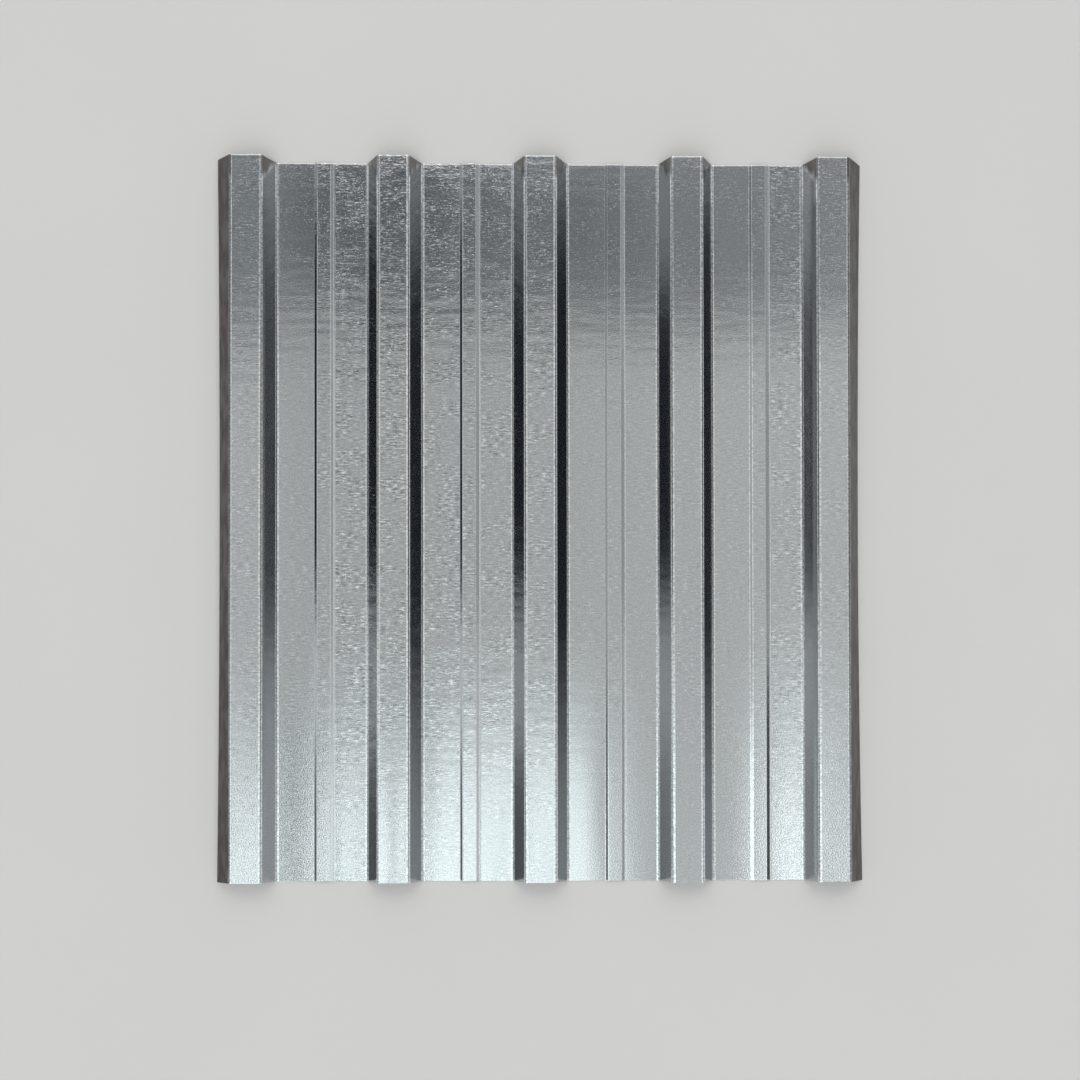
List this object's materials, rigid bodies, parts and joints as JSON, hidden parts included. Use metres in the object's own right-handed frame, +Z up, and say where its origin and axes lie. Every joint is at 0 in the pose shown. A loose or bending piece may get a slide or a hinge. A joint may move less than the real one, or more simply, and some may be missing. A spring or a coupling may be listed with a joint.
{
  "type": "corrugated metal sheet",
  "caption": "Short length of trapezoidal ribbed roofing and wall sheet, roll-formed from bare zinc-coated steel strip, with shallow stiffeners along its flat pans.",
  "frame": {"origin": "on the floor under the middle of the sheet's overall width and length", "axes": "+X across the ribs from the short lap leg to the full lap leg, +Y along the ribs, +Z up through the ribs' crowns"},
  "size_m": [0.7964, 0.89, 0.0256],
  "materials": {
    "zinc_coated_steel": "bare hot-dip zinc coating, bright, with fine crystal grain and faint ripples from rolling"
  },
  "bodies": {
    "root": {"corrugated_sheet": "zinc_coated_steel"}
  },
  "joints": []
}
